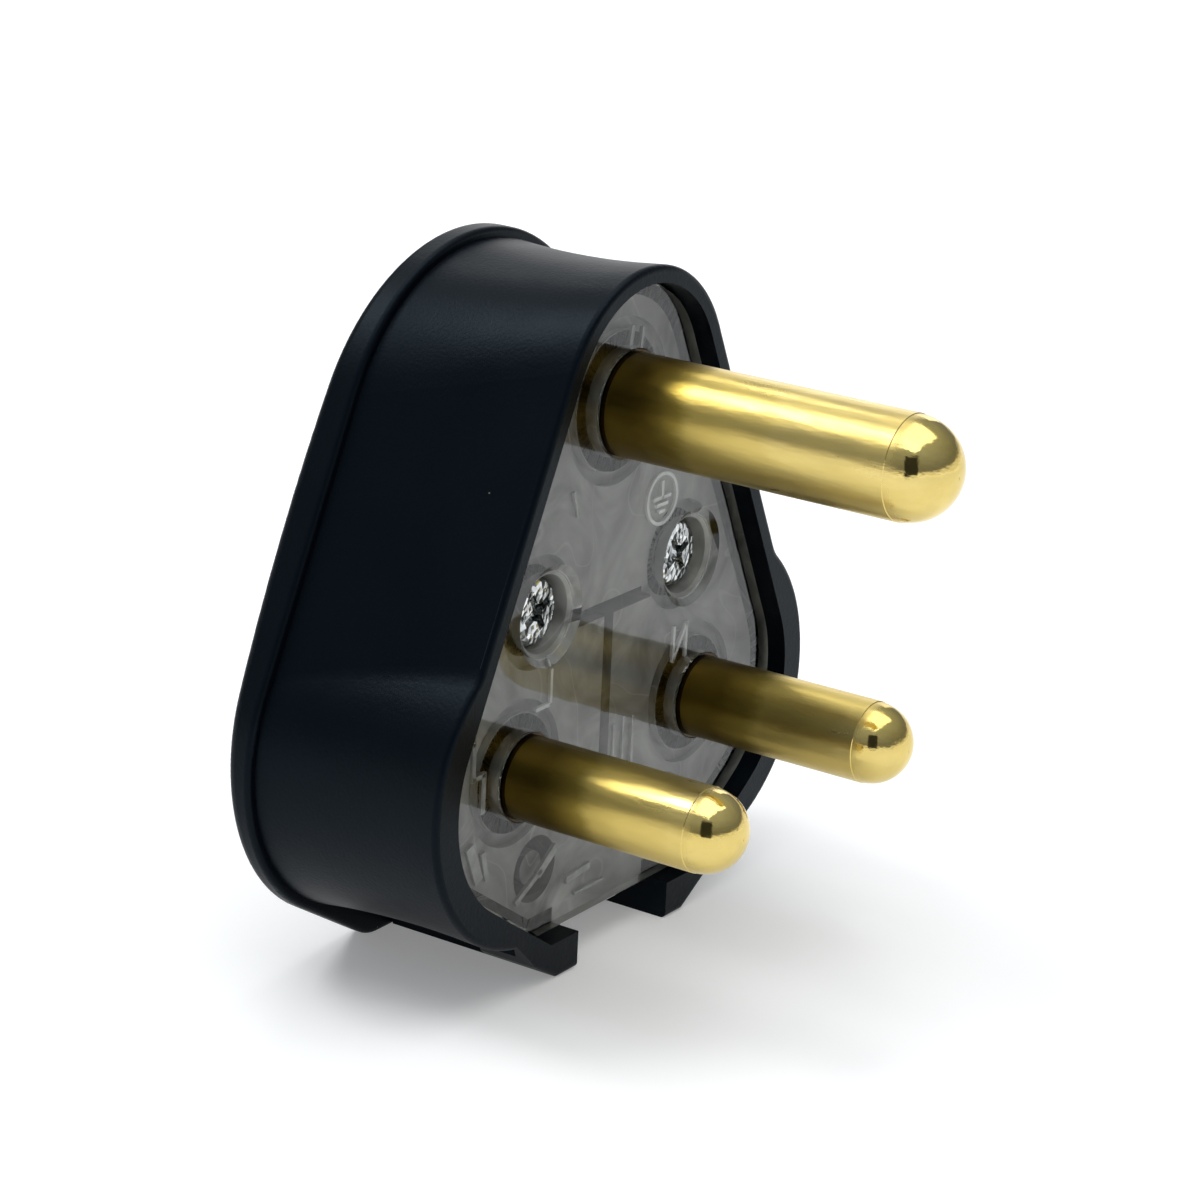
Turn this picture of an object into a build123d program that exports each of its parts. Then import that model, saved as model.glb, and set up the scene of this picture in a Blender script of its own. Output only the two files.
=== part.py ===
from build123d import *
from math import hypot, sqrt
import os

# Rewirable 16 A plug with three round pins, a clear base plate and a soft black cover.
# Driving dimensions, in millimetres.

# Pin pattern and pins: X is across the plug, the pins point to -Y, the earth pin is on top.
pin_pitch = 25.4
earth_rise = 28.6
earth_diameter = 8.71
earth_reach = 28.9
line_diameter = 7.06
line_reach = 19.2
tip_step = 0.06
root_step = 0.2
collar_margin = 1.5
collar_thickness = 1.6
cup_wall = 1.2
terminal_margin = 0.7

# Stance: height of the two line pins over the feet.
pin_height = 18.4

# Base plate, seen from the pins: a dome round the earth pin and rounds about the line pins.
plate_dome = 10.1
plate_round = 11.2
plate_bottom = 15.0
plate_corner = 10.45
plate_thickness = 3.0
plate_edge = 0.3

# Cover.
rim_stand = 1.5
rim_wall = 1.6
lobe_radius = 14.2
lobe_blend = 4.0
body_depth = 17.1
waist = 0.45
back_dome_rise = 22.2
back_dome = 17.4
back_round = 14.7
back_round_x = 13.5
back_round_rise = 0.3
back_step = 0.12
flange_margin = 0.85
flange_thickness = 2.4
flange_foot_x = 11.5
flange_foot_radius = 4.0
crown = 2.0
ledge = 1.3
back_wall = 2.6
rim_round = 0.5
flange_round = 0.9

# Cord spout under the cover.
spout_slot = 6.6
spout_wall = 2.9
spout_depth = 7.5
spout_toe = 9.3
spout_ankle_x = 12.3
spout_ankle = 1.8
spout_shoulder_x = 16.0
spout_shoulder = 5.4
spout_lip = 1.5
spout_cheek_x = 13.4
spout_cheek = 5.2
spout_waist = 2.2

# Cover screws, their posts and their threaded inserts.
screw_x = 10.2
screw_rise = 13.1
screw_diameter = 3.5
screw_length = 8.5
head_diameter = 5.9
head_height = 2.3
head_recess = 1.4
head_cross = 3.4
head_cross_width = 0.75
head_cross_depth = 1.2
bore_flare = 1.0
bore_flare_depth = 0.8
shank_clearance = 0.2
boss_wall = 1.5
boss_floor = 1.6
post_diameter = 7.6
insert_diameter = 5.4
insert_length = 7.6
insert_chamfer = 0.3

# Terminal screws and wire holes.
terminal_screw = 3.5
terminal_head = 5.6
terminal_head_height = 1.6
terminal_gap = 0.4
terminal_screw_length = 4.0
terminal_slot = 0.9
terminal_slot_depth = 0.8
slot_turn = 35
cross_turn = 28
earth_wire = 4.2
line_wire = 3.4
wire_depth = 5.0
terminal_chamfer = 0.4

# Cord clamp.
clamp_x = 9.4
clamp_drop = 9.4
clamp_boss = 5.8
clamp_floor = 1.0
clamp_width = 5.6
clamp_thickness = 2.2
clamp_screw = 2.9
clamp_head = 5.2
clamp_head_height = 1.6
clamp_screw_length = 8.0
clamp_arch = 7.0
clamp_arch_depth = 0.8

# Barriers behind the base plate.
barrier_thickness = 1.3
barrier_height = 8.0
barrier_top = 11.0
barrier_bottom = 5.5

# Clearances.
plate_clearance = 0.1
pin_clearance = 0.08
thread_clearance = 0.04
head_clearance = 0.35
head_room = 1.2
insert_clearance = 0.03
post_clearance = 0.3

# Places worked out from the sizes above.
cover_depth = body_depth + flange_thickness + crown
rim_y = (earth_reach - cover_depth) / 2
plate_y = rim_y + rim_stand
plate_back_y = plate_y + plate_thickness
flange_y = rim_y + body_depth
inner_back_y = flange_y + flange_thickness - back_wall
line_z = pin_height
earth_z = pin_height + earth_rise
line_x = pin_pitch / 2
screw_z = pin_height + screw_rise
bore_radius = head_diameter / 2 + head_clearance
seat_y = plate_y + head_recess + head_height
boss_y = seat_y + boss_floor
terminal_y = inner_back_y - head_room - terminal_head_height
pin_back_y = terminal_y - terminal_gap
clamp_z = pin_height - clamp_drop
clamp_head_y = inner_back_y - head_room - clamp_head_height
clamp_y = clamp_head_y - clamp_thickness

inward = (0, 1, 0)


def across(y):
    """Plane that faces the pins, at the given depth; its own axes are X and Z."""
    return Plane.XZ.offset(-y)


def along(x, y, z):
    """Plane for a turned profile: its X runs into the plug and its Y is the radius."""
    return Plane(origin=(x, y, z), x_dir=(0, 1, 0), z_dir=(1, 0, 0))


def turning_axis(x, z):
    """Axis into the plug through a point of the pin pattern."""
    return Axis((x, 0, z), (0, 1, 0))


def plate_outline(y, margin=0.0):
    """Outline of the base plate: the hull of three rounds and two sharp bottom corners."""
    bottom = line_z - plate_bottom
    with BuildSketch(across(y)) as sketch:
        with BuildLine():
            CenterArc((0, earth_z), plate_dome, 0, 360)
            for side in (-1, 1):
                CenterArc((side * line_x, line_z), plate_round, 0, 360)
            Line((-plate_corner, bottom), (plate_corner, bottom))
        make_hull()
        if margin:
            offset(amount=margin, kind=Kind.INTERSECTION)
    return sketch.sketch


def body_section(y, dome_z, dome, lobe_x, lobe_z, lobe, side):
    """Section of the cover: dome, straight side, soft shoulder and a lobe about a line pin.

    The side would touch a round of radius `side` about the lobe's centre; the lobe stands
    out of it and is blended into it by an arc of radius `lobe_blend`.
    """
    run = hypot(lobe_x, dome_z - lobe_z)
    toward = (lobe_x / run, (lobe_z - dome_z) / run)
    lean = (dome - side) / run
    reach = sqrt(1 - lean**2)
    out = (lean * toward[0] - reach * toward[1], lean * toward[1] + reach * toward[0])
    down = (out[1], -out[0])

    def from_lobe(outward, upward):
        return (
            lobe_x + out[0] * outward - down[0] * upward,
            lobe_z + out[1] * outward - down[1] * upward,
        )

    rise = sqrt((lobe + lobe_blend) ** 2 - (side + lobe_blend) ** 2)
    blend_centre = from_lobe(side + lobe_blend, rise)
    blend_top = from_lobe(side, rise)
    share = lobe / (lobe + lobe_blend)
    blend_foot = (
        lobe_x + (blend_centre[0] - lobe_x) * share,
        lobe_z + (blend_centre[1] - lobe_z) * share,
    )
    dome_end = (out[0] * dome, dome_z + out[1] * dome)
    with BuildSketch(across(y)) as sketch:
        with BuildLine():
            TangentArc((0, dome_z + dome), dome_end, tangent=(1, 0))
            Line(dome_end, blend_top)
            TangentArc(blend_top, blend_foot, tangent=down)
            TangentArc((lobe_x, lobe_z - lobe), blend_foot, tangent=(1, 0))
            Line((lobe_x, lobe_z - lobe), (0, lobe_z - lobe))
            mirror(about=Plane.YZ)
        make_face()
    return sketch.sketch


# Back of the cover: a flat grip flange, wider than the body, closed by a slightly crowned face.
with BuildPart() as cover_back:
    with BuildSketch(across(flange_y)):
        with BuildLine():
            CenterArc((0, line_z + back_dome_rise), back_dome + flange_margin, 0, 360)
            for side in (-1, 1):
                CenterArc(
                    (side * back_round_x, line_z + back_round_rise),
                    back_round + flange_margin,
                    0,
                    360,
                )
                CenterArc((side * flange_foot_x, flange_foot_radius), flange_foot_radius, 0, 360)
        make_hull()
    extrude(amount=flange_thickness + crown, dir=inward)
    crown_reach = (line_z + back_dome_rise + back_dome + flange_margin) / 2
    crown_radius = (crown_reach**2 + crown**2) / (2 * crown)
    with Locations((0, rim_y + cover_depth - crown_radius, crown_reach)):
        Sphere(crown_radius, mode=Mode.INTERSECT)
    fillet(cover_back.faces().sort_by(Axis.Y)[-1].edges(), radius=flange_round)
    fillet(cover_back.edges().group_by(Axis.Y)[0], radius=rim_round)


def mirrored(half):
    """Closed outline from the points of its right half, told from one end to the other."""
    return [*half, *[(-x, other) for x, other in reversed(half)]]


# Cord spout: a short sleeve round the cord's way out, open towards the base plate. Its front
# has splayed feet that close the cover's rim under the plate's two lower corners.
spout_top = pin_height - lobe_radius + spout_shoulder
with BuildPart() as spout:
    with BuildSketch():
        with BuildLine():
            Polyline(
                *mirrored(
                    [
                        (spout_shoulder_x, rim_y),
                        (spout_cheek_x, rim_y + spout_lip),
                        (spout_cheek_x, rim_y + spout_cheek),
                        (spout_slot + spout_wall, rim_y + spout_cheek + spout_waist),
                        (spout_slot + spout_wall, flange_y),
                    ]
                ),
                close=True,
            )
        make_face()
    extrude(amount=spout_top)
    with BuildSketch(across(rim_y)):
        with BuildLine():
            Polyline(
                *mirrored(
                    [
                        (spout_toe, 0),
                        (spout_ankle_x, spout_ankle),
                        (spout_shoulder_x, spout_shoulder),
                        (spout_shoulder_x, spout_top),
                    ]
                ),
                close=True,
            )
        make_face()
    extrude(amount=body_depth, dir=inward, mode=Mode.INTERSECT)
    fillet(spout.faces().sort_by(Axis.Y)[0].edges().sort_by(Axis.Z)[:3], radius=rim_round)

with BuildPart() as rubber_cover:
    middle_z = (earth_z + line_z + back_dome_rise) / 2
    add(
        body_section(
            rim_y,
            earth_z,
            plate_dome + rim_wall,
            line_x,
            line_z,
            lobe_radius,
            plate_round + rim_wall,
        )
    )
    add(
        body_section(
            rim_y + body_depth / 2,
            middle_z,
            (plate_dome + rim_wall + back_dome) / 2 - waist,
            (line_x + back_round_x) / 2,
            line_z + back_round_rise / 2,
            (lobe_radius + back_round) / 2 - waist,
            (plate_round + rim_wall + back_round - back_step) / 2 - waist,
        )
    )
    add(
        body_section(
            flange_y,
            line_z + back_dome_rise,
            back_dome,
            back_round_x,
            line_z + back_round_rise,
            back_round,
            back_round - back_step,
        )
    )
    loft()
    fillet(rubber_cover.faces().sort_by(Axis.Y)[0].edges(), radius=rim_round)
    add(cover_back.part)
    add(spout.part)
    # Recess for the base plate, and the chamber behind its ledge.
    add(plate_outline(rim_y, plate_clearance))
    extrude(amount=rim_stand + plate_thickness, dir=inward, mode=Mode.SUBTRACT)
    add(plate_outline(plate_back_y, -ledge))
    extrude(amount=inner_back_y - plate_back_y, dir=inward, mode=Mode.SUBTRACT)
    # The cord's way out.
    with BuildSketch(Plane.XY):
        with Locations((0, rim_y + spout_depth / 2)):
            Rectangle(2 * spout_slot, spout_depth)
        with Locations((0, rim_y + spout_depth)):
            Circle(spout_slot)
    extrude(amount=line_z - plate_bottom + 2 * ledge, mode=Mode.SUBTRACT)
    # Posts for the cover screws, bored for their inserts.
    for side in (-1, 1):
        with BuildSketch(across(boss_y)):
            with Locations((side * screw_x, screw_z)):
                Circle(post_diameter / 2)
        extrude(amount=inner_back_y - boss_y, dir=inward)
        with BuildSketch(across(boss_y)):
            with Locations((side * screw_x, screw_z)):
                Circle(insert_diameter / 2 + insert_clearance)
        extrude(amount=insert_length + insert_clearance, dir=inward, mode=Mode.SUBTRACT)

# Base plate, moulded in clear plastic with everything behind it that holds the pins.
with BuildPart() as base_plate:
    add(plate_outline(plate_y))
    extrude(amount=plate_thickness, dir=inward)
    chamfer(base_plate.faces().sort_by(Axis.Y)[0].edges(), length=plate_edge)
    # Bosses under the cover screws.
    with BuildSketch(across(plate_back_y)):
        with Locations((-screw_x, screw_z), (screw_x, screw_z)):
            Circle(bore_radius + boss_wall)
    extrude(amount=boss_y - plate_back_y, dir=inward)
    # Cups that keep each pin's collar in its place.
    with BuildSketch(across(plate_back_y)):
        with Locations((0, earth_z)):
            Circle(earth_diameter / 2 + collar_margin + cup_wall)
        with Locations((-line_x, line_z), (line_x, line_z)):
            Circle(line_diameter / 2 + collar_margin + cup_wall)
        with Locations((0, earth_z)):
            Circle(earth_diameter / 2 + collar_margin + plate_clearance, mode=Mode.SUBTRACT)
        with Locations((-line_x, line_z), (line_x, line_z)):
            Circle(line_diameter / 2 + collar_margin + plate_clearance, mode=Mode.SUBTRACT)
    extrude(amount=collar_thickness, dir=inward)
    # Barriers between the three terminals.
    with BuildSketch(across(plate_back_y)):
        with Locations((0, line_z + (barrier_top - barrier_bottom) / 2)):
            Rectangle(barrier_thickness, barrier_top + barrier_bottom)
        with Locations((0, line_z + barrier_top)):
            Rectangle(2 * screw_x - post_diameter - 2 * post_clearance, barrier_thickness)
    extrude(amount=barrier_height, dir=inward)
    # Bosses for the cord clamp.
    with BuildSketch(across(plate_back_y)):
        with Locations((-clamp_x, clamp_z), (clamp_x, clamp_z)):
            Circle(clamp_boss / 2)
    extrude(amount=clamp_y - plate_back_y, dir=inward)
    # Holes for the pins.
    with BuildSketch(across(plate_y)):
        with Locations((0, earth_z)):
            Circle(earth_diameter / 2 + root_step + pin_clearance)
        with Locations((-line_x, line_z), (line_x, line_z)):
            Circle(line_diameter / 2 + root_step + pin_clearance)
    extrude(amount=plate_thickness, dir=inward, mode=Mode.SUBTRACT)
    # Flared, counterbored holes for the cover screws.
    for side in (-1, 1):
        with BuildSketch(along(side * screw_x, plate_y, screw_z)):
            with BuildLine():
                Polyline(
                    (0, 0),
                    (0, bore_radius + bore_flare),
                    (bore_flare_depth, bore_radius),
                    (seat_y - plate_y, bore_radius),
                    (seat_y - plate_y, screw_diameter / 2 + shank_clearance),
                    (boss_y - plate_y, screw_diameter / 2 + shank_clearance),
                    (boss_y - plate_y, 0),
                    close=True,
                )
            make_face()
        revolve(axis=turning_axis(side * screw_x, screw_z), mode=Mode.SUBTRACT)
    # Holes for the clamp screws.
    with BuildSketch(across(clamp_y)):
        with Locations((-clamp_x, clamp_z), (clamp_x, clamp_z)):
            Circle(clamp_screw / 2 + thread_clearance)
    extrude(amount=clamp_y - plate_back_y - clamp_floor, mode=Mode.SUBTRACT)


def turned_pin(x, z, diameter, reach, wire):
    """Round pin with a domed tip, a collar behind the plate and a drilled terminal.

    It is a little thicker where it passes the plate.
    """
    radius = diameter / 2
    tip = -(plate_thickness + rim_stand + reach)
    back = pin_back_y - plate_back_y
    with BuildPart() as pin:
        with BuildSketch(along(x, plate_back_y, z)):
            with BuildLine():
                RadiusArc((tip, 0), (tip + radius - tip_step, radius - tip_step), radius - tip_step)
                Polyline(
                    (tip + radius - tip_step, radius - tip_step),
                    (tip + radius, radius),
                    (-plate_thickness, radius),
                    (-plate_thickness, radius + root_step),
                    (0, radius + root_step),
                    (0, radius + collar_margin),
                    (collar_thickness, radius + collar_margin),
                    (collar_thickness, radius + terminal_margin),
                    (back - terminal_chamfer, radius + terminal_margin),
                    (back, radius + terminal_margin - terminal_chamfer),
                    (back, 0),
                    (tip, 0),
                )
            make_face()
        revolve(axis=turning_axis(x, z))
        # Wire hole across the terminal, and the threaded hole that meets it from behind.
        with BuildSketch(Plane.XY.offset(z)):
            with Locations((x, plate_back_y + wire_depth)):
                Circle(wire / 2)
        extrude(amount=diameter, both=True, mode=Mode.SUBTRACT)
        with BuildSketch(across(plate_back_y + wire_depth)):
            with Locations((x, z)):
                Circle(terminal_screw / 2 + thread_clearance)
        extrude(amount=back - wire_depth, dir=inward, mode=Mode.SUBTRACT)
    return pin


def slotted_screw(x, y, z, diameter, length, head, height, slot, slot_depth):
    """Cheese-head screw whose head rests at y and whose shank points to the pins."""
    with BuildPart() as screw:
        with BuildSketch(across(y)):
            with Locations((x, z)):
                Circle(diameter / 2)
        extrude(amount=length)
        chamfer(screw.edges().group_by(Axis.Y)[0], length=diameter / 8)
        with BuildSketch(across(y)):
            with Locations((x, z)):
                Circle(head / 2)
        extrude(amount=height, dir=inward)
        fillet(screw.edges().group_by(Axis.Y)[-1], radius=height / 5)
        with BuildSketch(across(y + height - slot_depth)):
            with Locations((x, z)):
                Rectangle(head, slot, rotation=slot_turn)
        extrude(amount=slot_depth, dir=inward, mode=Mode.SUBTRACT)
    return screw


earth_pin = turned_pin(0, earth_z, earth_diameter, earth_reach, earth_wire)
live_pin = turned_pin(-line_x, line_z, line_diameter, line_reach, line_wire)
neutral_pin = turned_pin(line_x, line_z, line_diameter, line_reach, line_wire)

earth_terminal_screw = slotted_screw(
    0, terminal_y, earth_z, terminal_screw, terminal_screw_length,
    terminal_head, terminal_head_height, terminal_slot, terminal_slot_depth,
)
live_terminal_screw = slotted_screw(
    -line_x, terminal_y, line_z, terminal_screw, terminal_screw_length,
    terminal_head, terminal_head_height, terminal_slot, terminal_slot_depth,
)
neutral_terminal_screw = slotted_screw(
    line_x, terminal_y, line_z, terminal_screw, terminal_screw_length,
    terminal_head, terminal_head_height, terminal_slot, terminal_slot_depth,
)

left_clamp_screw = slotted_screw(
    -clamp_x, clamp_head_y, clamp_z, clamp_screw, clamp_screw_length,
    clamp_head, clamp_head_height, terminal_slot, terminal_slot_depth,
)
right_clamp_screw = slotted_screw(
    clamp_x, clamp_head_y, clamp_z, clamp_screw, clamp_screw_length,
    clamp_head, clamp_head_height, terminal_slot, terminal_slot_depth,
)

# Cord clamp: a flat bar with round ends and an arch that beds on the cord.
with BuildPart() as cord_clamp:
    with BuildSketch(across(clamp_y)):
        with Locations((0, clamp_z)):
            SlotCenterToCenter(2 * clamp_x, clamp_width)
        with Locations((-clamp_x, clamp_z), (clamp_x, clamp_z)):
            Circle(clamp_screw / 2 + shank_clearance, mode=Mode.SUBTRACT)
    extrude(amount=clamp_thickness, dir=inward)
    with BuildSketch(Plane.XY.offset(clamp_z - clamp_width / 2)):
        with Locations((0, clamp_y + clamp_arch_depth - clamp_arch)):
            Circle(clamp_arch)
    extrude(amount=clamp_width, mode=Mode.SUBTRACT)


def cover_screw(x):
    """Pan-head screw with a cross recess, held in the base plate's counterbore."""
    with BuildPart() as screw:
        with BuildSketch(across(seat_y)):
            with Locations((x, screw_z)):
                Circle(head_diameter / 2)
        extrude(amount=head_height)
        fillet(screw.edges().group_by(Axis.Y)[0], radius=head_height / 3)
        with BuildSketch(across(seat_y)):
            with Locations((x, screw_z)):
                Circle(screw_diameter / 2)
        extrude(amount=screw_length, dir=inward)
        chamfer(screw.edges().group_by(Axis.Y)[-1], length=screw_diameter / 8)
        with BuildSketch(across(seat_y - head_height)):
            with Locations((x, screw_z)):
                Rectangle(head_cross, head_cross_width, rotation=cross_turn)
                Rectangle(head_cross_width, head_cross, rotation=cross_turn)
                Circle(head_cross_width)
        extrude(amount=head_cross_depth, dir=inward, mode=Mode.SUBTRACT)
    return screw


def threaded_insert(x):
    """Brass insert moulded into the cover's post, with the screw's hole right through it."""
    with BuildPart() as insert:
        with BuildSketch(across(boss_y)):
            with Locations((x, screw_z)):
                Circle(insert_diameter / 2)
                Circle(screw_diameter / 2 + thread_clearance, mode=Mode.SUBTRACT)
        extrude(amount=insert_length, dir=inward)
        chamfer(insert.edges().group_by(Axis.Y)[0], length=insert_chamfer)
    return insert


left_cover_screw = cover_screw(-screw_x)
right_cover_screw = cover_screw(screw_x)
left_insert = threaded_insert(-screw_x)
right_insert = threaded_insert(screw_x)

rubber_cover.part.label = "rubber_cover"
base_plate.part.label = "base_plate"
earth_pin.part.label = "earth_pin"
live_pin.part.label = "live_pin"
neutral_pin.part.label = "neutral_pin"
earth_terminal_screw.part.label = "earth_terminal_screw"
live_terminal_screw.part.label = "live_terminal_screw"
neutral_terminal_screw.part.label = "neutral_terminal_screw"
cord_clamp.part.label = "cord_clamp"
left_clamp_screw.part.label = "left_clamp_screw"
right_clamp_screw.part.label = "right_clamp_screw"
left_cover_screw.part.label = "left_cover_screw"
right_cover_screw.part.label = "right_cover_screw"
left_insert.part.label = "left_insert"
right_insert.part.label = "right_insert"

os.makedirs("parts", exist_ok=True)
export_step(rubber_cover.part, "parts/rubber_cover.step")
export_step(base_plate.part, "parts/base_plate.step")
export_step(earth_pin.part, "parts/earth_pin.step")
export_step(live_pin.part, "parts/live_pin.step")
export_step(neutral_pin.part, "parts/neutral_pin.step")
export_step(earth_terminal_screw.part, "parts/earth_terminal_screw.step")
export_step(live_terminal_screw.part, "parts/live_terminal_screw.step")
export_step(neutral_terminal_screw.part, "parts/neutral_terminal_screw.step")
export_step(cord_clamp.part, "parts/cord_clamp.step")
export_step(left_clamp_screw.part, "parts/left_clamp_screw.step")
export_step(right_clamp_screw.part, "parts/right_clamp_screw.step")
export_step(left_cover_screw.part, "parts/left_cover_screw.step")
export_step(right_cover_screw.part, "parts/right_cover_screw.step")
export_step(left_insert.part, "parts/left_insert.step")
export_step(right_insert.part, "parts/right_insert.step")
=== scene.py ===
from math import atan2, cos, hypot, pi, radians, sin

import bmesh
import bpy
from mathutils import Matrix, Quaternion, Vector


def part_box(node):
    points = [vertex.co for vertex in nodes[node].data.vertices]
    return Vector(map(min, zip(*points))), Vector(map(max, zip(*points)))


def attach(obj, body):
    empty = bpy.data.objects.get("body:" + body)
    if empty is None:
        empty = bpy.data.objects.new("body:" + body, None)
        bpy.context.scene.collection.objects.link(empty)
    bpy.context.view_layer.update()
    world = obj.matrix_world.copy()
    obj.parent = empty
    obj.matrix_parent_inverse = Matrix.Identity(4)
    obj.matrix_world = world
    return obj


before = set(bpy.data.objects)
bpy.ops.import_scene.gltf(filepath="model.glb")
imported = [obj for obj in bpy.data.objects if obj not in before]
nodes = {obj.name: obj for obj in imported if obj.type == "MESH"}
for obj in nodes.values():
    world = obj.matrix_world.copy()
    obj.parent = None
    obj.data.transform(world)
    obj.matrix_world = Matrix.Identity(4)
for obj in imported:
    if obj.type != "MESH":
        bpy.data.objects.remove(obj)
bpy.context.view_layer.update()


# Camera. The photograph looks at the plug's pins from the left and a little from above,
# through a long lens held slightly out of level.
azimuth, elevation, roll = radians(-56.153), radians(18.73), radians(2.524)
distance = 0.320
aim = Vector((0, 0.0052, 0.0184))
aim_right, aim_up = -0.001856, 0.011164

back = Vector((sin(azimuth) * cos(elevation), -cos(azimuth) * cos(elevation), sin(elevation)))
right = (-back).cross(Vector((0, 0, 1))).normalized()
up = right.cross(-back)

camera = bpy.data.objects.new("camera", bpy.data.cameras.new("camera"))
bpy.context.scene.collection.objects.link(camera)
camera.location = aim + back * distance + right * aim_right + up * aim_up
camera.rotation_mode = "QUATERNION"
camera.rotation_quaternion = Quaternion(back, roll) @ (-back).to_track_quat("-Z", "Y")
camera.data.sensor_width = 36
camera.data.lens = 115.33
camera.data.clip_start = 0.01
bpy.context.scene.camera = camera


# Studio. A pale floor and pale walls that run out of sight, a wide softbox over the plug, three
# small ones behind it, and the dark back of the camera, which only the bright metal shows.
def new_material(name):
    """A node material and its shader, with short ways to add and join its nodes."""
    material = bpy.data.materials.new(name)
    material.use_nodes = True
    tree = material.node_tree

    def node(kind, **values):
        made = tree.nodes.new(kind)
        for key, value in values.items():
            if hasattr(made, key):
                setattr(made, key, value)
            else:
                made.inputs[key.replace("_", " ")].default_value = value
        return made

    return material, tree.nodes["Principled BSDF"], node, tree.links.new


def paint_ramp(ramp, *stops):
    """Give a colour ramp its stops, from first to last."""
    for _ in stops[2:]:
        ramp.color_ramp.elements.new(0.5)
    for stop, (position, colour) in zip(ramp.color_ramp.elements, stops):
        stop.position, stop.color = position, (*colour, 1)


def studio_card(name, size, place, target):
    """A flat card of the studio, turned to face a point."""
    shape = bmesh.new()
    bmesh.ops.create_grid(shape, x_segments=1, y_segments=1, size=0.5)
    bmesh.ops.scale(shape, vec=(*size, 1), verts=shape.verts)
    turn = (Vector(target) - Vector(place)).to_track_quat("Z", "Y").to_matrix().to_4x4()
    bmesh.ops.transform(shape, matrix=Matrix.Translation(place) @ turn, verts=shape.verts)
    data = bpy.data.meshes.new(name)
    shape.to_mesh(data)
    shape.free()
    card = bpy.data.objects.new(name, data)
    bpy.context.scene.collection.objects.link(card)
    return card


floor = studio_card("floor", (12, 12), (0, 0, 0), (0, 0, 1))
floor_paint, shader, node, join = new_material("pale_floor")
shader.inputs["Base Color"].default_value = (0.88, 0.88, 0.88, 1)
shader.inputs["Roughness"].default_value = 0.8
shader.inputs["Emission Color"].default_value = (1, 1, 1, 1)
# The floor glows white for camera, glossy and transmission rays. The glow is weaker near the
# plug, which paints a shade round it.
where = node("ShaderNodeTexCoord")
far = node("ShaderNodeVectorMath", operation="LENGTH")
glow_with_painted_shade = node("ShaderNodeMapRange", From_Min=0.35, From_Max=1.60, To_Min=0.22, To_Max=0.95)
ray = node("ShaderNodeLightPath")
either = node("ShaderNodeMath", operation="MAXIMUM")
also = node("ShaderNodeMath", operation="MAXIMUM")
lift = node("ShaderNodeMath", operation="MULTIPLY")
join(where.outputs["Object"], far.inputs[0])
join(far.outputs["Value"], glow_with_painted_shade.inputs["Value"])
join(ray.outputs["Is Camera Ray"], either.inputs[0])
join(ray.outputs["Is Glossy Ray"], either.inputs[1])
join(either.outputs["Value"], also.inputs[0])
join(ray.outputs["Is Transmission Ray"], also.inputs[1])
join(also.outputs["Value"], lift.inputs[0])
join(glow_with_painted_shade.outputs["Result"], lift.inputs[1])
join(lift.outputs["Value"], shader.inputs["Emission Strength"])
floor.data.materials.append(floor_paint)

flag_back, flag_up = 0.36, 0.02
flag = studio_card("camera_back", (0.17, 0.26), aim + back * flag_back + up * flag_up, aim)
flag.visible_camera = flag.visible_diffuse = flag.visible_shadow = False
flag_paint, shader, node, join = new_material("dark_camera_back")
shader.inputs["Base Color"].default_value = (0.02, 0.02, 0.02, 1)
shader.inputs["Roughness"].default_value = 0.9
flag.data.materials.append(flag_paint)

room = bpy.data.worlds.new("room")
room.use_nodes = True
node, join = room.node_tree.nodes.new, room.node_tree.links.new
where, split = node("ShaderNodeTexCoord"), node("ShaderNodeSeparateXYZ")
walls = node("ShaderNodeValToRGB")
paint_ramp(
    walls, (0.08, (0.96, 0.96, 0.96)), (0.15, (0.22, 0.23, 0.24)), (0.24, (0.21, 0.22, 0.24)),
    (0.90, (0.48, 0.52, 0.55)),
)
join(where.outputs["Generated"], split.inputs["Vector"])
join(split.outputs["Z"], walls.inputs["Fac"])
join(walls.outputs["Color"], room.node_tree.nodes["Background"].inputs["Color"])
bpy.context.scene.world = room


plug_middle = Vector((0, 0, 0.03))


def softbox(name, place, size, power):
    """A rectangular lamp that faces the plug."""
    lamp = bpy.data.lights.new(name, "AREA")
    lamp.shape = "RECTANGLE"
    lamp.size, lamp.size_y = size
    lamp.energy = power
    made = bpy.data.objects.new(name, lamp)
    bpy.context.scene.collection.objects.link(made)
    made.location = place
    made.rotation_mode = "QUATERNION"
    made.rotation_quaternion = (plug_middle - Vector(place)).to_track_quat("-Z", "Y")


softbox("overhead", (0.0, -0.10, 1.05), (1.3, 0.9), 6.6)
softbox("key", (-0.24, 0.58, 0.88), (0.40, 0.26), 3.0)
softbox("strip", (0.46, 0.53, 0.71), (0.10, 0.40), 0.5)
softbox("far", (0.80, 0.45, 0.34), (0.5, 0.4), 0.9)

bpy.context.scene.view_settings.view_transform = "Standard"


# Cover. One moulding of soft black rubber: the flanged back, the sleeve of the body, the rim
# round the base plate and the cord spout. Its skin is satin, with a fine grain and some dust.
def finish_node(name, material):
    """Give a CAD node its material."""
    nodes[name].data.materials.clear()
    nodes[name].data.materials.append(material)


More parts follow.
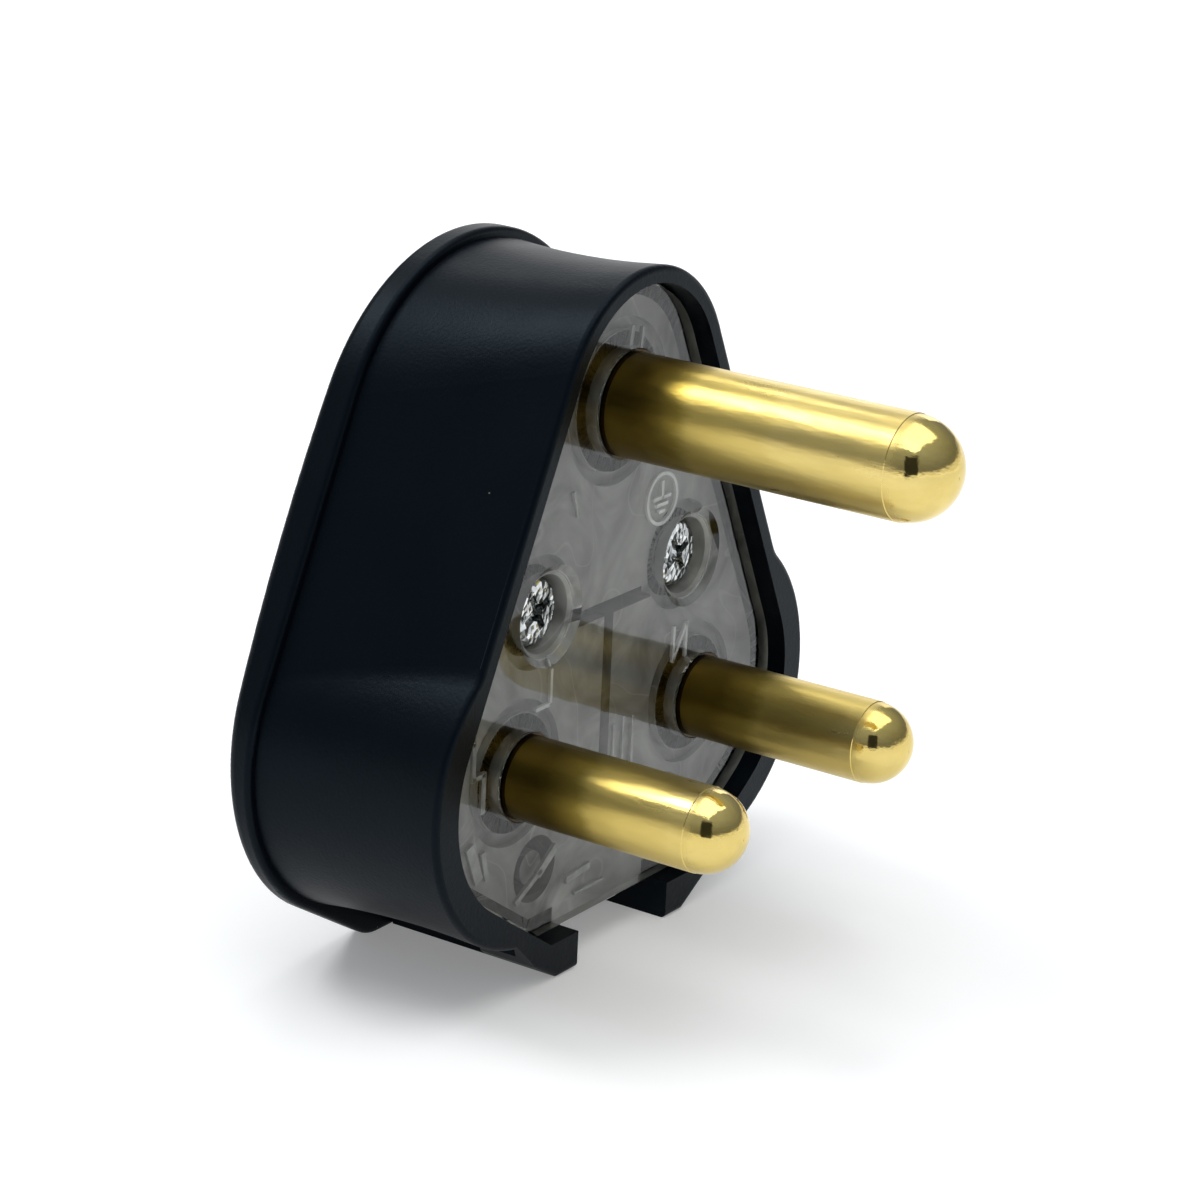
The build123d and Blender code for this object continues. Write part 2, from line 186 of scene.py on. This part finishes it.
black_rubber, shader, node, join = new_material("black_rubber")
shader.inputs["Specular IOR Level"].default_value = 0.12
shader.inputs["Specular Tint"].default_value = (0.58, 0.85, 1.0, 1)
where = node("ShaderNodeTexCoord")
grain = node("ShaderNodeTexNoise", Scale=3400.0, Detail=3.0)
bump = node("ShaderNodeBump", Strength=0.50, Distance=0.00004)
cloud = node("ShaderNodeTexNoise", Scale=140.0, Detail=4.0)
satin = node("ShaderNodeMapRange", To_Min=0.34, To_Max=0.48)
dust = node("ShaderNodeTexVoronoi", Scale=260.0)
speck = node("ShaderNodeMapRange", From_Min=0.030, From_Max=0.020)
parts = node("ShaderNodeSeparateColor")
rare = node("ShaderNodeMath", operation="GREATER_THAN")
rare.inputs[1].default_value = 0.90
few = node("ShaderNodeMath", operation="MULTIPLY")
tint = node(
    "ShaderNodeMix", data_type="RGBA", A=(0.0006, 0.0014, 0.0036, 1), B=(0.20, 0.20, 0.19, 1)
)
for texture in (grain, cloud, dust):
    join(where.outputs["Object"], texture.inputs["Vector"])
join(grain.outputs["Fac"], bump.inputs["Height"])
join(bump.outputs["Normal"], shader.inputs["Normal"])
join(cloud.outputs["Fac"], satin.inputs["Value"])
join(satin.outputs["Result"], shader.inputs["Roughness"])
join(dust.outputs["Distance"], speck.inputs["Value"])
join(dust.outputs["Color"], parts.inputs["Color"])
join(parts.outputs["Red"], rare.inputs[0])
join(speck.outputs["Result"], few.inputs[0])
join(rare.outputs["Value"], few.inputs[1])
join(few.outputs["Value"], tint.inputs["Factor"])
join(tint.outputs["Result"], shader.inputs["Base Color"])
finish_node("rubber_cover", black_rubber)


# Base plate. A clear plastic moulding, slightly smoky, that the cover screws hold. It is
# polished in front and matt behind, where it carries bosses, barriers and the pins' cups.
plate_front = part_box("base_plate")[0][1]
plate_thickness = 0.0030
polished_to, matt_from = plate_front + 0.0004, plate_front + 0.0006

clear_plastic, shader, node, join = new_material("clear_plastic")
shader.inputs["IOR"].default_value = 1.50
where = node("ShaderNodeTexCoord")
place = node("ShaderNodeSeparateXYZ")
behind = node("ShaderNodeMapRange", From_Min=polished_to, From_Max=matt_from)
matt = node("ShaderNodeMapRange", To_Min=0.04, To_Max=0.32)
clear = node("ShaderNodeMapRange", To_Min=1.0, To_Max=0.50)
flow = node("ShaderNodeTexNoise", Scale=110.0, Detail=6.0, Distortion=1.6)
smoke = node("ShaderNodeValToRGB")
paint_ramp(smoke, (0.34, (0.22, 0.22, 0.20)), (0.66, (0.70, 0.71, 0.67)))
# Painted highlights: thin bright lines in the matt back's colour stand for glints in the plastic.
glint_noise = node("ShaderNodeTexNoise", Scale=95.0, Detail=1.0, Distortion=1.0)
glint = node("ShaderNodeValToRGB")
paint_ramp(glint, (0.492, (0, 0, 0)), (0.500, (0.30, 0.30, 0.30)), (0.508, (0, 0, 0)))
smoke_and_painted_glints = node("ShaderNodeMix", data_type="RGBA", B=(1, 1, 0.97, 1))
body = node("ShaderNodeMix", data_type="RGBA", A=(0.93, 0.94, 0.92, 1))
ripple = node("ShaderNodeTexNoise", Scale=220.0, Detail=2.0)
sink = node("ShaderNodeBump", Strength=0.12, Distance=0.0002)
for texture in (flow, glint_noise, ripple):
    join(where.outputs["Object"], texture.inputs["Vector"])
join(where.outputs["Object"], place.inputs["Vector"])
join(place.outputs["Y"], behind.inputs["Value"])
join(behind.outputs["Result"], matt.inputs["Value"])
join(matt.outputs["Result"], shader.inputs["Roughness"])
join(behind.outputs["Result"], clear.inputs["Value"])
join(clear.outputs["Result"], shader.inputs["Transmission Weight"])
join(flow.outputs["Fac"], smoke.inputs["Fac"])
join(glint_noise.outputs["Fac"], glint.inputs["Fac"])
join(glint.outputs["Color"], smoke_and_painted_glints.inputs["Factor"])
join(smoke.outputs["Color"], smoke_and_painted_glints.inputs["A"])
join(behind.outputs["Result"], body.inputs["Factor"])
join(smoke_and_painted_glints.outputs["Result"], body.inputs["B"])
join(body.outputs["Result"], shader.inputs["Base Color"])
join(ripple.outputs["Fac"], sink.inputs["Height"])
join(sink.outputs["Normal"], shader.inputs["Normal"])
finish_node("base_plate", clear_plastic)


# Marks of the three contacts, moulded with the plate and raised on its back, so that they read
# mirrored through it: L and N over the line pins, and the earth sign in a ring.
stroke_width, stroke_rise, stroke_sink = 0.00034, 0.00020, 0.00060
letter_height, letter_width = 0.0029, 0.0019
live_place, neutral_place, earth_place = (-0.0092, 0.0232), (0.0107, 0.0221), (0.0069, 0.0372)


def mottled_plastic(name, scale, detail, dull, bright, roughness):
    """A plastic whose colour wanders between two shades."""
    plastic, shader, node, join = new_material(name)
    shader.inputs["Roughness"].default_value = roughness
    where = node("ShaderNodeTexCoord")
    mottle = node("ShaderNodeTexNoise", Scale=scale, Detail=detail)
    shade = node("ShaderNodeMix", data_type="RGBA", A=(*dull, 1), B=(*bright, 1))
    join(where.outputs["Object"], mottle.inputs["Vector"])
    join(mottle.outputs["Fac"], shade.inputs["Factor"])
    join(shade.outputs["Result"], shader.inputs["Base Color"])
    return plastic


def stroke(shape, start, end, width=stroke_width):
    """A thin raised bar on the plate's back, between two points of it."""
    run = hypot(end[0] - start[0], end[1] - start[1])
    turn = Matrix.Rotation(-atan2(end[1] - start[1], end[0] - start[0]), 4, "Y")
    middle = Vector(((start[0] + end[0]) / 2, (stroke_rise - stroke_sink) / 2,
                     (start[1] + end[1]) / 2))
    bar = bmesh.ops.create_cube(shape, size=1)["verts"]
    bmesh.ops.scale(shape, vec=(run + width, stroke_rise + stroke_sink, width), verts=bar)
    bmesh.ops.transform(shape, matrix=Matrix.Translation(middle) @ turn, verts=bar)


def finish_relief(name, shape, place, plastic):
    """Round the edges of the strokes and put them in their place (x, z) on the plate."""
    x, z = place
    bmesh.ops.bevel(
        shape, geom=shape.edges, offset=stroke_width / 6, segments=2, profile=0.5,
        affect="EDGES", material=-1,
    )
    bmesh.ops.translate(shape, vec=(x, plate_front + plate_thickness, z), verts=shape.verts)
    bmesh.ops.recalc_face_normals(shape, faces=shape.faces)
    data = bpy.data.meshes.new(name)
    shape.to_mesh(data)
    shape.free()
    relief = bpy.data.objects.new(name, data)
    bpy.context.scene.collection.objects.link(relief)
    relief.data.materials.append(plastic)
    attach(relief, "root")


mark_plastic = mottled_plastic(
    "frosted_mark", 900.0, 2.0, (0.88, 0.89, 0.87), (0.95, 0.96, 0.94), 0.45
)
half, top = letter_width / 2, letter_height
letter = bmesh.new()
stroke(letter, (half, top), (half, 0))
stroke(letter, (half, 0), (-half, 0))
finish_relief("live_mark", letter, live_place, mark_plastic)

letter = bmesh.new()
stroke(letter, (half, 0), (half, top))
stroke(letter, (half, top), (-half, 0))
stroke(letter, (-half, 0), (-half, top))
finish_relief("neutral_mark", letter, neutral_place, mark_plastic)

ring_radius = 0.0020
stem_top, bar_top, bar_step = 0.0014, 0.0001, 0.0006
bar_half, bar_shrink = 0.0011, 0.0004
sign = bmesh.new()
stroke(sign, (0, stem_top), (0, bar_top))
for row in range(3):
    reach, level = bar_half - bar_shrink * row, bar_top - bar_step * row
    stroke(sign, (-reach, level), (reach, level))
corners = [
    sign.verts.new((ring_radius + across * stroke_width, rise, 0))
    for across, rise in ((0, -stroke_sink), (1, -stroke_sink), (1, stroke_rise), (0, stroke_rise))
]
band = [sign.edges.new((corners[i], corners[(i + 1) % 4])) for i in range(4)]
bmesh.ops.spin(
    sign, geom=band + corners, cent=(0, 0, 0), axis=(0, 1, 0), angle=2 * pi, steps=48,
    use_merge=True,
)
finish_relief("earth_mark", sign, earth_place, mark_plastic)


# Ribs moulded on the plate's matt back: steps beside the live pin's cup, a web across the
# corner under it, short keys between the line pins and over the earth pin.
mm = 0.001
ribs = (
    ((-20.2, 22.6), (-18.6, 22.6), 0.40), ((-18.6, 22.6), (-18.6, 19.6), 0.50),
    ((-18.6, 19.6), (-17.2, 19.6), 0.40), ((-17.2, 19.6), (-17.2, 16.6), 0.60),
    ((-18.6, 13.4), (-17.6, 11.0), 1.10), ((-16.9, 12.6), (-16.4, 10.6), 0.60),
    ((-6.9, 10.0), (-8.8, 8.6), 0.80), ((-8.8, 8.6), (-12.0, 6.9), 0.50),
    ((-4.6, 6.6), (-1.9, 6.9), 0.70), ((-3.6, 5.0), (0.4, 5.0), 0.30),
    ((1.2, 18.6), (1.2, 14.4), 0.30), ((2.6, 18.9), (2.6, 14.2), 0.30),
    ((4.0, 18.6), (4.0, 14.6), 0.35), ((1.4, 52.9), (1.0, 51.0), 0.50),
    ((2.9, 52.6), (2.7, 51.1), 0.35), ((-6.0, 40.6), (-5.4, 38.6), 0.30),
)
webs = bmesh.new()
for start, end, width in ribs:
    ends = [tuple(value * mm for value in point) for point in (start, end)]
    stroke(webs, *ends, width * mm)
rib_plastic = mottled_plastic(
    "frosted_rib", 700.0, 3.0, (0.16, 0.17, 0.16), (0.78, 0.79, 0.76), 0.30
)
finish_relief("plate_ribs", webs, (0, 0), rib_plastic)


# Pins, their terminal screws and the inserts of the cover's posts. All are turned from solid
# brass and left bare, with a mottled olive tarnish. The darkening of the brass towards the plate
# is painted shade and painted reflection of the dark cover. Everything from just in front of the
# plate inwards is painted near black as shade. The socket has polished the domed tips.
# How far in front of the plate the painted darkening of the brass reaches, and where the painted
# near-black shade begins.
painted_shade_reach, painted_shade_depth = 0.016, 0.0003

bare_brass, shader, node, join = new_material("bare_brass")
shader.inputs["Metallic"].default_value = 1.0
where = node("ShaderNodeTexCoord")
place = node("ShaderNodeSeparateXYZ")
along = node("ShaderNodeMapping", Scale=(1, 0.25, 1))
stain = node("ShaderNodeTexNoise", Scale=260.0, Detail=7.0, Roughness=0.62)
# Painted shade and reflection: the brass darkens over the last stretch before the plate.
painted_root_darkening = node("ShaderNodeMapRange", From_Min=plate_front - painted_shade_reach, From_Max=plate_front)
tarnish_plus_shade = node("ShaderNodeMath", operation="MULTIPLY_ADD")
tarnish_plus_shade.inputs[1].default_value = 0.42
# Real mottled tarnish, mixed with the painted darkening towards the plate.
tarnish_and_root_shade = node("ShaderNodeValToRGB")
paint_ramp(
    tarnish_and_root_shade, (0.08, (0.80, 0.63, 0.24)), (0.26, (0.68, 0.52, 0.16)), (0.70, (0.60, 0.45, 0.12)),
    (0.79, (0.36, 0.26, 0.05)), (1.00, (0.20, 0.13, 0.02)),
)
# Painted shade: brass behind a plane just in front of the plate's face, the pins' roots and
# whatever lies inside, turns near black.
painted_shade_mask = node("ShaderNodeMath", operation="GREATER_THAN")
painted_shade_mask.inputs[1].default_value = plate_front - painted_shade_depth
painted_seat_shade = node("ShaderNodeMix", data_type="RGBA", B=(0.035, 0.022, 0.006, 1))
fine = node("ShaderNodeTexNoise", Scale=1200.0, Detail=5.0)
turned = node("ShaderNodeBump", Strength=0.55, Distance=0.00008)
wear = node("ShaderNodeMapRange", From_Min=0.3, From_Max=0.7, To_Min=0.24, To_Max=0.46)
facing = node("ShaderNodeSeparateXYZ")
tip = node("ShaderNodeMapRange", From_Min=-0.05, From_Max=-0.30, To_Min=1.0, To_Max=0.30)
polish = node("ShaderNodeMath", operation="MULTIPLY")
join(where.outputs["Object"], place.inputs["Vector"])
join(where.outputs["Object"], along.inputs["Vector"])
join(along.outputs["Vector"], stain.inputs["Vector"])
join(along.outputs["Vector"], fine.inputs["Vector"])
join(place.outputs["Y"], painted_root_darkening.inputs["Value"])
join(stain.outputs["Fac"], tarnish_plus_shade.inputs[0])
join(painted_root_darkening.outputs["Result"], tarnish_plus_shade.inputs[2])
join(tarnish_plus_shade.outputs["Value"], tarnish_and_root_shade.inputs["Fac"])
join(place.outputs["Y"], painted_shade_mask.inputs[0])
join(painted_shade_mask.outputs["Value"], painted_seat_shade.inputs["Factor"])
join(tarnish_and_root_shade.outputs["Color"], painted_seat_shade.inputs["A"])
join(painted_seat_shade.outputs["Result"], shader.inputs["Base Color"])
join(stain.outputs["Fac"], wear.inputs["Value"])
join(where.outputs["Normal"], facing.inputs["Vector"])
join(facing.outputs["Y"], tip.inputs["Value"])
join(wear.outputs["Result"], polish.inputs[0])
join(tip.outputs["Result"], polish.inputs[1])
join(polish.outputs["Value"], shader.inputs["Roughness"])
join(fine.outputs["Fac"], turned.inputs["Height"])
join(turned.outputs["Normal"], shader.inputs["Normal"])
for contact in ("earth", "live", "neutral"):
    finish_node(contact + "_pin", bare_brass)
    finish_node(contact + "_terminal_screw", bare_brass)
finish_node("left_insert", bare_brass)
finish_node("right_insert", bare_brass)


# Screws. Bright zinc plated steel with cross heads, driven into the inserts of the cover and the
# bosses of the clamp. The plating and the driver have left them a little uneven, and the dark and
# bright patches in their colour are also painted reflections of small facets.
bright_zinc, shader, node, join = new_material("bright_zinc")
shader.inputs["Metallic"].default_value = 1.0
shader.inputs["Roughness"].default_value = 0.16
where = node("ShaderNodeTexCoord")
facet_cells = node("ShaderNodeTexVoronoi", Scale=1700.0)
# Uneven plating and painted facet reflections: the cells range from dark to bright metal.
plating_and_painted_glints = node(
    "ShaderNodeMix", data_type="RGBA", A=(0.10, 0.11, 0.11, 1), B=(0.86, 0.88, 0.88, 1)
)
dents = node("ShaderNodeBump", Strength=0.9, Distance=0.00022)
join(where.outputs["Object"], facet_cells.inputs["Vector"])
join(facet_cells.outputs["Color"], plating_and_painted_glints.inputs["Factor"])
join(plating_and_painted_glints.outputs["Result"], shader.inputs["Base Color"])
join(facet_cells.outputs["Distance"], dents.inputs["Height"])
join(dents.outputs["Normal"], shader.inputs["Normal"])
for side in ("left", "right"):
    finish_node(side + "_cover_screw", bright_zinc)
    finish_node(side + "_clamp_screw", bright_zinc)


# Cord clamp. A moulded bar of pale hard plastic that lies across the cord's way in and is held
# down by two screws.
pale_plastic = mottled_plastic(
    "pale_plastic", 300.0, 3.0, (0.42, 0.41, 0.37), (0.56, 0.55, 0.50), 0.5
)
finish_node("cord_clamp", pale_plastic)
